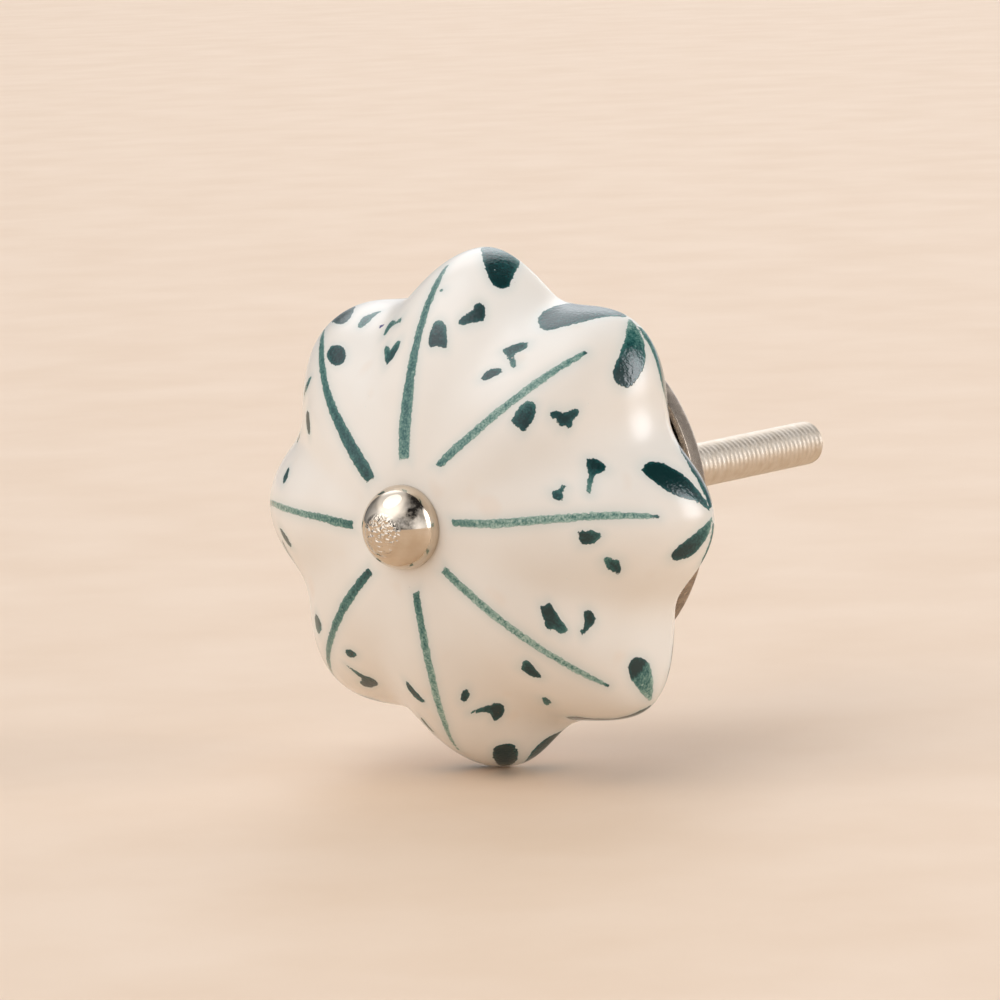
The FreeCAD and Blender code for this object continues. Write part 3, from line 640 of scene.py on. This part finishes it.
def specks(tree, place, spacing, size, share):
    """Round specks, 1 inside: one in a share of cells that are spacing millimetres apart."""
    cells = add(tree, "TexVoronoi", {"Vector": place, "Scale": per_metre(spacing)})
    lot = add(tree, "SeparateColor", {"Color": cells.outputs["Color"]}).outputs[0]
    kept = add(tree, "Math", {0: lot, 1: share}, operation="LESS_THAN")
    edge = size / 2 / spacing
    dot = add(tree, "MapRange", {
        "Value": cells.outputs["Distance"], "From Min": edge * (1 - SPECK_SOFTNESS),
        "From Max": edge * (1 + SPECK_SOFTNESS), "To Min": 1.0, "To Max": 0.0,
    }, interpolation_type="SMOOTHSTEP")
    return add(tree, "Math", {0: kept, 1: dot}, operation="MULTIPLY")


def laid_over(tree, gap, ragged):
    """1 under the brush's paint and 0 beside it, with a narrow ragged edge between."""
    edge = add(tree, "Math", {0: gap, 1: ragged}, operation="ADD")
    return add(tree, "MapRange", {
        "Value": edge, "From Min": -PAINT_EDGE, "From Max": PAINT_EDGE, "To Min": 1.0, "To Max": 0.0,
    }, interpolation_type="SMOOTHSTEP")


def glazed_stoneware():
    """Hand-painted stoneware under a clear glaze, fired: warm off-white, wet gloss, the paint
    mottled where it is thin and nearly black-green where it pooled."""
    material, tree, shader, place = new_material("glazed_painted_stoneware", IOR=1.52)
    gap = add(tree, "Attribute", attribute_name="paint_gap").outputs["Fac"]
    body = add(tree, "Attribute", attribute_name="paint_body").outputs["Fac"]
    slip = add(tree, "Attribute", attribute_name="slip_gap").outputs["Fac"]
    # noise, by size in millimetres and detail: pigment grains, which are drawn coarser than real
    # ones so that they show, brush marks, patches and blushes of the body, and the glaze's
    # flows and pebbles
    grains, brush, patches, blushes, flows, pebbles = (
        add(tree, "TexNoise", {"Vector": place, "Scale": per_metre(size), "Detail": detail})
        for size, detail in ((0.18, 2.0), (0.45, 2.0), (9.0, 2.0), (4.0, 1.0), (3.0, 1.0), (0.30, 1.0))
    )

    # the edge of the paint is ragged by about a tenth of a millimetre
    ragged = add(tree, "Math", {0: grains, 1: 0.22, 2: -0.11}, operation="MULTIPLY_ADD")
    ragged = add(tree, "Math", {0: brush, 1: 0.34, 2: ragged}, operation="MULTIPLY_ADD")
    ragged = add(tree, "Math", {0: ragged, 1: 0.17}, operation="SUBTRACT")
    cover = laid_over(tree, gap, ragged)

    # body: pale and slightly patchy, with warm blushes, greyer for a millimetre round the
    # paint, and two sizes of iron specks
    clay = add(tree, "ValToRGB", {"Fac": patches}, stops=[(0.35, "#EDE7DD"), (0.65, "#E9E1D5")])
    blush = add(tree, "MapRange", {
        "Value": blushes, "From Min": 0.66, "From Max": 0.80, "To Min": 0.0, "To Max": 0.35,
    }, interpolation_type="SMOOTHSTEP")
    halo = add(tree, "MapRange", {
        "Value": gap, "From Min": 0.0, "From Max": 1.2, "To Min": 0.62, "To Max": 0.0,
    })
    halo = add(tree, "Math", {0: halo, 1: 2.0}, operation="POWER")
    for share, tint in (
        (blush, "#E6D3BF"),
        (halo, "#B9C8C4"),
        (specks(tree, place, spacing=2.3, size=0.16, share=0.16), "#8A6A54"),
        (specks(tree, place, spacing=5.5, size=0.30, share=0.10), "#A98B76"),
    ):
        clay = add(tree, "Mix", {0: share, 6: clay, 7: tint}, data_type="RGBA")

    # paint: its depth of colour is its body, broken by the grains most where it is thin
    thin = add(tree, "Math", {0: 1.25, 1: body}, operation="SUBTRACT")
    mottle = add(tree, "Math", {0: grains, 1: 1.20, 2: -0.95}, operation="MULTIPLY_ADD")
    mottle = add(tree, "Math", {0: brush, 1: 0.70, 2: mottle}, operation="MULTIPLY_ADD")
    depth = add(tree, "Math", {0: mottle, 1: thin, 2: body}, operation="MULTIPLY_ADD")
    pooled = add(tree, "MapRange", {
        "Value": gap, "From Min": -0.45, "From Max": -0.03, "To Min": 0.05, "To Max": -0.14,
    })
    depth = add(tree, "Math", {0: depth, 1: pooled}, operation="ADD")
    flecks = specks(tree, place, spacing=0.55, size=0.20, share=0.32)
    flecks = add(tree, "Math", {0: flecks, 1: thin}, operation="MULTIPLY")
    depth = add(tree, "Math", {0: flecks, 1: -0.30, 2: depth}, operation="MULTIPLY_ADD")
    paint = add(tree, "ValToRGB", {"Fac": depth}, stops=[
        (0.02, "#A8BDB0"), (0.98, "#102F2F"), (0.22, "#82A093"), (0.42, "#5A8177"), (0.60, "#366660"),
        (0.80, "#1A4847"),
    ])

    # the paint and the slip over the body, and the pinholes over all, their pale colour a painted glint
    pinholes = specks(tree, place, spacing=1.0, size=0.11, share=0.20)
    # the pinholes are also sunk into the glaze below; this pale share paints the light their bubbles
    # catch
    pinhole_glint = add(tree, "Math", {0: pinholes, 1: 0.5}, operation="MULTIPLY")
    colour = clay
    slip_cover = laid_over(tree, slip, ragged)
    for share, tint in ((cover, paint), (slip_cover, "#3A3470"), (pinhole_glint, "#DDE3DC")):
        colour = add(tree, "Mix", {0: share, 6: colour, 7: tint}, data_type="RGBA")

    # the glaze has sunk smoothly over the paint and keeps a very fine peel on the bare body,
    # too fine to draw, so it is drawn as roughness
    gloss = add(tree, "MapRange", {"Value": cover, "To Min": 0.20, "To Max": 0.09})

    # glaze: shallow flows, pebbles over the paint, a step at its edge, and pinholes
    surface = add(tree, "Bump", {"Height": flows, "Distance": micrometres(8)})
    over_paint = add(tree, "Math", {0: cover, 1: 0.92, 2: 0.08}, operation="MULTIPLY_ADD")
    pebbles = add(tree, "Math", {0: pebbles, 1: over_paint}, operation="MULTIPLY")
    for height, step, sunk in ((pebbles, 26, False), (cover, 10, False), (pinholes, 12, True)):
        surface = add(tree, "Bump", {
            "Height": height, "Distance": micrometres(step), "Normal": surface,
        }, invert=sunk)
    feed(tree, shader, {"Base Color": colour, "Roughness": gloss, "Normal": surface})
    return material


def polished_nickel():
    """Nickel plate on a turned and polished nut: a clear warm mirror, with one patch of pits that
    the polishing left."""
    material, tree, shader, place = new_material("polished_nickel_plate", Metallic=1.0)
    # noise, by size in millimetres and detail: its tone, smears, ripples, and pits, which are
    # drawn deeper than real ones so that they show
    tone, smear, ripple, pits = (
        add(tree, "TexNoise", {"Vector": place, "Scale": per_metre(size), "Detail": detail})
        for size, detail in ((1.2, 2.0), (0.8, 3.0), (1.3, 2.0), (0.36, 1.0))
    )
    tone = add(tree, "ValToRGB", {"Fac": tone}, stops=[(0.3, "#DACEBE"), (0.7, "#D1C2AE")])
    smear = add(tree, "MapRange", {
        "Value": smear, "From Min": 0.35, "From Max": 0.75, "To Min": 0.05, "To Max": 0.13,
    })
    # the patch is round and about 4 mm wide, and its middle lies 0.4 mm below the tip
    middle = [0.0, dome_low.y * MM, -0.4 * MM]
    pitted = add(tree, "VectorMath", {0: place, 1: middle}, operation="DISTANCE")
    pitted = add(tree, "MapRange", {
        "Value": pitted, "From Min": 1.5 * MM, "From Max": 2.1 * MM, "To Min": 1.0, "To Max": 0.0,
    }, interpolation_type="SMOOTHSTEP")
    pits = add(tree, "Math", {0: pits, 1: pitted}, operation="MULTIPLY")
    surface = add(tree, "Bump", {"Height": ripple, "Distance": micrometres(4)})
    surface = add(tree, "Bump", {"Height": pits, "Distance": micrometres(300), "Normal": surface})
    feed(tree, shader, {"Base Color": tone, "Roughness": smear, "Normal": surface})
    return material


def nickel_rod():
    """Thin nickel plate on a rolled thread: satin and warm, streaked along the ridges."""
    material, tree, shader, place = new_material("nickel_plated_rolled_thread", Metallic=1.0)
    tone = add(tree, "TexNoise", {"Vector": place, "Scale": per_metre(0.9), "Detail": 3.0})
    tone = add(tree, "ValToRGB", {"Fac": tone}, stops=[(0.3, "#DCD1C2"), (0.7, "#CFC1AE")])
    # the streaks are 0.7 mm long round the rod and a ninth of that along it
    streak = add(tree, "Mapping", {"Vector": place, "Scale": (1.0, 9.0, 1.0)})
    streak = add(tree, "TexNoise", {"Vector": streak, "Scale": per_metre(0.7), "Detail": 3.0})
    satin = add(tree, "MapRange", {
        "Value": streak, "From Min": 0.3, "From Max": 0.7, "To Min": 0.40, "To Max": 0.52,
    })
    surface = add(tree, "Bump", {"Height": streak, "Distance": micrometres(3)})
    feed(tree, shader, {"Base Color": tone, "Roughness": satin, "Normal": surface})
    return material


def nickel_sheet():
    """Nickel plated sheet, pressed and left as it came: grey-brown and finely mottled."""
    material, tree, shader, place = new_material("nickel_plated_pressed_sheet", Metallic=1.0)
    # stains of 0.45 mm and grain of 0.3 mm, drawn coarser than the sheet's own so that it shows
    mottle = add(tree, "TexNoise", {
        "Vector": place, "Scale": per_metre(0.45), "Detail": 3.0, "Roughness": 0.6,
    })
    tone = add(tree, "ValToRGB", {"Fac": mottle}, stops=[
        (0.30, "#8E8175"), (0.72, "#BBAD9C"), (0.52, "#A49687"),
    ])
    satin = add(tree, "MapRange", {
        "Value": mottle, "From Min": 0.3, "From Max": 0.7, "To Min": 0.34, "To Max": 0.20,
    })
    fine = add(tree, "TexNoise", {"Vector": place, "Scale": per_metre(0.30), "Detail": 2.0})
    surface = add(tree, "Bump", {"Height": fine, "Distance": micrometres(8)})
    feed(tree, shader, {"Base Color": tone, "Roughness": satin, "Normal": surface})
    return material


def zinc_steel():
    """Zinc plated steel, cold formed: pale blue-grey, satin and a little cloudy."""
    material, tree, shader, place = new_material("zinc_plated_steel", Metallic=1.0)
    # clouds of 0.8 mm and zinc grain of 0.12 mm, which is drawn coarser than real grain
    cloud = add(tree, "TexNoise", {"Vector": place, "Scale": per_metre(0.8), "Detail": 3.0})
    tone = add(tree, "ValToRGB", {"Fac": cloud}, stops=[(0.3, "#B4B7B8"), (0.7, "#C6C5BE")])
    satin = add(tree, "MapRange", {
        "Value": cloud, "From Min": 0.3, "From Max": 0.7, "To Min": 0.30, "To Max": 0.42,
    })
    fine = add(tree, "TexNoise", {"Vector": place, "Scale": per_metre(0.12), "Detail": 2.0})
    surface = add(tree, "Bump", {"Height": fine, "Distance": micrometres(2)})
    feed(tree, shader, {"Base Color": tone, "Roughness": satin, "Normal": surface})
    return material


def pale_board():
    """Plain painted board: pale, warm and matt, with a faint mottle of 18 mm."""
    material, tree, shader, place = new_material("pale_painted_board", Roughness=0.6, IOR=1.45)
    tone = add(tree, "TexNoise", {"Vector": place, "Scale": per_metre(18.0), "Detail": 3.0})
    tone = add(tree, "ValToRGB", {"Fac": tone}, stops=[(0.3, "#E3CAB0"), (0.7, "#DEC3A7")])
    feed(tree, shader, {"Base Color": tone})
    return material


# pieces


def lobe_wave(angle):
    """1 on a crest and 0 in a valley."""
    wave = np.hypot(np.cos(LOBES * angle / 2), LOBE_SOFTNESS) - LOBE_SOFTNESS
    return wave / (math.hypot(1, LOBE_SOFTNESS) - LOBE_SOFTNESS)


def make_ceramic():
    """The ceramic body: a turned section drawn in between its lobes, and then painted."""
    front, back, foot_bend = ceramic_section()
    skin = np.concatenate([front, back, foot_bend])
    seat_radii = (BORE_RADIUS, BORE_RADIUS + SEAT_MARGIN, SEAT_RADIUS - SEAT_MARGIN)
    seat = [(radius, SEAT_Y) for radius in seat_radii]
    under_radii = np.linspace(foot_bend[-1][0], RECESS_RADIUS, UNDER_RINGS + 1)[1:]
    under = [(radius, FOOT_Y) for radius in under_radii]
    inside = [(RECESS_RADIUS, ROOF_Y), (BORE_RADIUS, ROOF_Y)]
    bm = turned(seat + [tuple(point) for point in skin] + under + inside, CERAMIC_STEPS)

    place = np.array([vert.co for vert in bm.verts]) / MM
    crest = np.hypot(place[:, 0], place[:, 2])
    angle = np.arctan2(place[:, 0], place[:, 2])
    under_foot = place[:, 1] > FOOT_Y - TOUCH
    in_recess = (crest < RECESS_RADIUS + TOUCH) & (place[:, 1] > ROOF_Y - TOUCH)
    # the lobes are full on the skin and fade out under the foot, before the round recess
    share = (crest / KNOB_RADIUS) ** LOBE_FADE
    share = np.where(crest < ROUND_SEAT_RADIUS, 0, share)
    fade = np.clip((crest - RECESS_RADIUS) / (FOOT_RADIUS - RECESS_RADIUS), 0, 1)
    share = np.where(under_foot, share * fade, share)
    share = np.where(in_recess, 0, share)
    radius = crest - share * (KNOB_RADIUS - VALLEY_RADIUS) * (1 - lobe_wave(angle))
    for vert, scale in zip(bm.verts, radius / crest):
        vert.co.x *= scale
        vert.co.z *= scale

    # a vertex's reach is read off its Y, which grows all along the skin down to its last bend
    to_bend = slice(0, -FOOT_BEND_STEPS - 1)
    skin_reach = SEAT_RADIUS + length_along(skin)
    reach = np.interp(place[:, 1], skin[to_bend, 1], skin_reach[to_bend])
    reach = np.where(crest < SEAT_RADIUS, crest, reach)
    reach = np.where(in_recess | under_foot, OUT_OF_REACH, reach)

    piece = finish_piece("ceramic", bm, glazed_stoneware(), crease=60)
    paint_body(piece.data, angle, crest, reach)
    stand_for(piece, "ceramic_body")


def make_dome_nut():
    """The domed nut: a cap of a sphere on a short skirt, with a blind hole."""
    radius = dome_high.x
    seat = dome_high.y
    skirt = seat - DOME_SKIRT
    rise = skirt - dome_low.y
    curve = (radius ** 2 + rise ** 2) / (2 * rise)
    centre = dome_low.y + curve
    low = math.degrees(math.atan2(skirt - centre, radius))
    dome = arc((0, centre), curve, low, -90, DOME_RINGS)
    dome[-1] = (0.0, dome_low.y)
    inset = ROUND_EDGE_MIDDLE * DOME_RIM_CHAMFER
    rim = [
        (radius - DOME_RIM_CHAMFER, seat),
        (radius - inset, seat - inset),
        (radius, seat - DOME_RIM_CHAMFER),
    ]
    hole = rod_high.x + THREAD_GAP
    hollow = [(0.0, seat - DOME_HOLE_DEPTH), (hole, seat - DOME_HOLE_DEPTH), (hole, seat)]
    bm = turned(hollow + rim + dome, DOME_STEPS)
    stand_for(finish_piece("domed_nut", bm, polished_nickel()), "dome_nut")


def end_rod(bm, end, outward):
    """Cut the thread off at a Y, chamfer that end and close it."""
    bmesh.ops.bisect_plane(
        bm, geom=bm.verts[:] + bm.edges[:] + bm.faces[:], dist=CUT_DISTANCE,
        plane_co=(0, end * MM, 0), plane_no=(0, outward, 0), clear_outer=True,
    )
    for vert in bm.verts:
        radius = math.hypot(vert.co.x, vert.co.z) / MM
        allowed = rod_high.x - ROD_CHAMFER + abs(vert.co.y / MM - end)
        if radius > allowed:
            vert.co.x *= allowed / radius
            vert.co.z *= allowed / radius
    rim = [
        edge for edge in bm.edges
        if edge.is_boundary and all(abs(vert.co.y / MM - end) < TOUCH for vert in edge.verts)
    ]
    bmesh.ops.edgeloop_fill(bm, edges=rim)


def make_rod():
    """The rod: one turn of a rounded ridge, repeated along the axis and cut to length."""
    start = rod_low.y - THREAD_PITCH
    ridge = []
    for step in range(RIDGE_STEPS + 1):
        share = step / RIDGE_STEPS
        groove = THREAD_RISE * (1 + math.cos(math.tau * share)) / 2
        ridge.append((rod_high.x - groove, start + THREAD_PITCH * share))
    bm, verts = new_section(ridge)
    spin_section(bm, math.tau, THREAD_STEPS, rise=THREAD_PITCH)
    turns = 1
    while turns < (rod_high.y - rod_low.y) / THREAD_PITCH + SPARE_TURNS:
        copy_all(bm, Matrix.Translation((0, turns * THREAD_PITCH * MM, 0)))
        turns *= 2
    bmesh.ops.remove_doubles(bm, verts=bm.verts, dist=MERGE_DISTANCE)
    end_rod(bm, rod_low.y, -1)
    end_rod(bm, rod_high.y, 1)
    bmesh.ops.recalc_face_normals(bm, faces=bm.faces)
    stand_for(finish_piece("rod", bm, nickel_rod(), crease=30), "threaded_rod")


def make_cup():
    """The pressed cup: a floor with a hole, a bend, and a wall that ends in a rounded lip."""
    outer = plate_high.x
    back = plate_high.y
    lip = plate_low.y
    inner = outer - SHEET
    floor = back - SHEET
    bend = BEND_INSIDE + SHEET
    hole = rod_high.x + PLATE_HOLE_GAP
    edge = LIP_ROUNDING
    section = [(hole, floor), (hole, back)]
    section += arc((outer - bend, back - bend), bend, 90, 0, BEND_STEPS)
    section += arc((outer - edge, lip + edge), edge, 0, -90, LIP_STEPS)
    section += arc((inner + edge, lip + edge), edge, -90, -180, LIP_STEPS)
    section += arc((inner - BEND_INSIDE, floor - BEND_INSIDE), BEND_INSIDE, 0, 90, INSIDE_BEND_STEPS)
    bm = turned(section, CUP_STEPS)
    stand_for(finish_piece("cup", bm, nickel_sheet()), "back_plate")


make_ceramic()
make_dome_nut()
make_rod()
make_cup()

lock_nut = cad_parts["lock_nut"]
lock_nut.data.materials.clear()
lock_nut.data.materials.append(zinc_steel())


# camera: the photograph's view, 500 mm from the middle of the widest plane

CAMERA_AZIMUTH = 36.36
CAMERA_ELEVATION = 7.31
CAMERA_ROLL = -2.05
CAMERA_DISTANCE = 500.0
PIXELS_PER_MM = 11.63
PHOTO_WIDTH = 1000
SENSOR_WIDTH = 36.0
# where the middle of the widest plane lies in the photograph
CENTRE_U = 496.24
CENTRE_V = 507.70
# the nearest and farthest that the camera sees, in metres
CLIP_START = 0.01
CLIP_END = 20.0


def place_camera():
    """The camera, aimed so that the knob lies where it does in the photograph."""
    azimuth, elevation, roll = (math.radians(a) for a in (CAMERA_AZIMUTH, CAMERA_ELEVATION, CAMERA_ROLL))
    level = math.cos(elevation)
    back = Vector((math.sin(azimuth) * level, -math.cos(azimuth) * level, math.sin(elevation)))
    right = Vector((math.cos(azimuth), math.sin(azimuth), 0))
    up = back.cross(right)
    right, up = (
        right * math.cos(roll) + up * math.sin(roll),
        up * math.cos(roll) - right * math.sin(roll),
    )
    middle = Vector((0, WIDEST_Y, 0))
    spot = middle + back * CAMERA_DISTANCE
    half = PHOTO_WIDTH / 2
    aim = middle + right * (half - CENTRE_U) / PIXELS_PER_MM + up * (CENTRE_V - half) / PIXELS_PER_MM
    back = (spot - aim).normalized()
    right = up.cross(back).normalized()
    up = back.cross(right)
    data = bpy.data.cameras.new("camera")
    data.sensor_width = SENSOR_WIDTH
    data.lens = SENSOR_WIDTH * PIXELS_PER_MM * CAMERA_DISTANCE / PHOTO_WIDTH
    data.clip_start = CLIP_START
    data.clip_end = CLIP_END
    camera = bpy.data.objects.new("camera", data)
    turn = Matrix((right, up, back)).transposed()
    camera.matrix_world = Matrix.Translation(spot * MM) @ turn.to_4x4()
    bpy.context.scene.collection.objects.link(camera)
    bpy.context.scene.camera = camera


# stage and light

# half the width of the floor, in metres
FLOOR_HALF_SIZE = 20.0

# The room round the object is a pale one. Directions lead away from the object; half widths
# are sines of angles; a brightness of 1 is that of a white page. A light's core is 1 where its
# edge is sharp and 0 where it fades from its middle.
ROOM_COLOUR = "#FAFBFF"
ROOM_LEVEL = 0.44
DARKEST_LEVEL = 0.03
# a large soft box overhead, a little to the front and left
KEY_CENTRE = (-0.38, -0.22, 0.90)
KEY_LONG_AXIS = (0.42, -0.90, 0.0)
KEY_HALF_WIDTHS = (0.72, 0.50)
KEY_BRIGHTNESS = 0.52
KEY_CORE = 0.70
# a tall, narrow and soft window at the right, a little behind
WINDOW_CENTRE = (0.92, 0.34, 0.17)
WINDOW_LONG_AXIS = (0, 0, 1)
WINDOW_HALF_WIDTHS = (0.44, 0.17)
WINDOW_BRIGHTNESS = 6.5
WINDOW_CORE = 0.05
# patches of wall: centre, the angles at which a patch is full and gone, and what it adds
WALLS = [
    # the wide bright wall in front, and the dark place in it that the dome mirrors
    ((0.10, -0.99, 0.05), 42, 100, 0.74),
    ((0.56, -0.82, 0.12), 18, 42, -0.80),
    # bright behind: high on the left, and low
    ((-0.50, 0.55, 0.67), 11, 27, 1.40),
    ((-0.20, 0.93, 0.32), 20, 36, 0.85),
    # darker overhead at the back, and lighter overhead in front
    ((0.15, 0.48, 0.86), 13, 32, -0.34),
    ((-0.30, -0.75, 0.55), 15, 42, 0.26),
    # lighter at the right, and darker high at the right
    ((0.97, 0.10, 0.02), 20, 56, 0.56),
    ((0.72, -0.02, 0.69), 12, 42, -0.60),
    ((0.66, -0.36, 0.66), 8, 20, -0.50),
    # darker at the left
    ((-0.90, 0.40, 0.20), 8, 26, -0.22),
]
# noise that breaks up the dark patches: its scale over all directions, and its least and most
CLUTTER_SCALE = 7.0
CLUTTER_LEAST = 0.55
CLUTTER_MOST = 1.25
# a soft lamp from the key's direction, which gives the floor its shadow
LAMP_DIRECTION = (-0.34, -0.24, 0.91)
LAMP_HALF_ANGLE = 20
LAMP_BRIGHTNESS = 0.85


def lay_floor():
    """A floor just under the lowest lobe, large enough to fill the view."""
    bm = bmesh.new()
    bmesh.ops.create_grid(bm, x_segments=1, y_segments=1, size=FLOOR_HALF_SIZE)
    bmesh.ops.translate(bm, verts=bm.verts, vec=(0, 0, ceramic_low.z * MM))
    finish_piece("floor", bm, pale_board())


def soft_lamp(name, direction, half_angle, brightness):
    """A round lamp at a great distance."""
    data = bpy.data.lights.new(name, "SUN")
    data.angle = 2 * math.radians(half_angle)
    data.energy = brightness * math.pi * math.sin(math.radians(half_angle)) ** 2
    lamp = bpy.data.objects.new(name, data)
    lamp.rotation_mode = "QUATERNION"
    lamp.rotation_quaternion = Vector(direction).to_track_quat("Z", "Y")
    bpy.context.scene.collection.objects.link(lamp)


def soft_box(tree, look, centre, long_axis, half_widths, brightness, core):
    """The brightness of an oval light in every direction: full inside its core, half at its half
    widths and gone outside them."""
    centre = Vector(centre).normalized()
    across = centre.cross(Vector(long_axis)).normalized()
    along = across.cross(centre)
    squares = []
    for axis, half in ((along, half_widths[0]), (across, half_widths[1])):
        offset = add(tree, "VectorMath", {0: look, 1: axis / half}, operation="DOT_PRODUCT")
        squares.append(add(tree, "Math", {0: offset, 1: 2.0}, operation="POWER"))
    distance = add(tree, "Math", {0: squares[0], 1: squares[1]}, operation="ADD")
    light = add(tree, "MapRange", {
        "Value": distance, "From Min": core, "From Max": 2 - core, "To Min": brightness, "To Max": 0.0,
    }, interpolation_type="SMOOTHSTEP")
    facing = add(tree, "VectorMath", {0: look, 1: centre}, operation="DOT_PRODUCT")
    facing = add(tree, "Math", {0: facing, 1: 0.0}, operation="GREATER_THAN")
    return add(tree, "Math", {0: light, 1: facing}, operation="MULTIPLY")


def set_room():
    """A pale room with a soft box, a window, and lighter and darker walls."""
    world = bpy.data.worlds.new("room")
    world.use_nodes = True
    tree = world.node_tree
    tree.nodes.clear()
    look = add(tree, "TexCoord").outputs["Generated"]
    clutter = add(tree, "TexNoise", {
        "Vector": look, "Scale": CLUTTER_SCALE, "Detail": 3.0, "Roughness": 0.6,
    })
    clutter = add(tree, "MapRange", {
        "Value": clutter, "From Min": 0.35, "From Max": 0.65,
        "To Min": CLUTTER_LEAST, "To Max": CLUTTER_MOST,
    })
    level = ROOM_LEVEL
    for centre, full, gone, amount in WALLS:
        centre = Vector(centre).normalized()
        facing = add(tree, "VectorMath", {0: look, 1: centre}, operation="DOT_PRODUCT")
        patch = add(tree, "MapRange", {
            "Value": facing, "From Min": math.cos(math.radians(gone)),
            "From Max": math.cos(math.radians(full)), "To Min": 0.0, "To Max": amount,
        }, interpolation_type="SMOOTHSTEP")
        if amount < 0:
            patch = add(tree, "Math", {0: patch, 1: clutter}, operation="MULTIPLY")
        level = add(tree, "Math", {0: level, 1: patch}, operation="ADD")
    level = add(tree, "Math", {0: level, 1: DARKEST_LEVEL}, operation="MAXIMUM")
    for light in (
        (KEY_CENTRE, KEY_LONG_AXIS, KEY_HALF_WIDTHS, KEY_BRIGHTNESS, KEY_CORE),
        (WINDOW_CENTRE, WINDOW_LONG_AXIS, WINDOW_HALF_WIDTHS, WINDOW_BRIGHTNESS, WINDOW_CORE),
    ):
        level = add(tree, "Math", {0: level, 1: soft_box(tree, look, *light)}, operation="ADD")
    background = add(tree, "Background", {"Color": ROOM_COLOUR, "Strength": level})
    add(tree, "OutputWorld", {"Surface": background})
    bpy.context.scene.world = world


place_camera()
lay_floor()
set_room()
soft_lamp("key", LAMP_DIRECTION, LAMP_HALF_ANGLE, LAMP_BRIGHTNESS)

view = bpy.context.scene.view_settings
view.view_transform = "Standard"
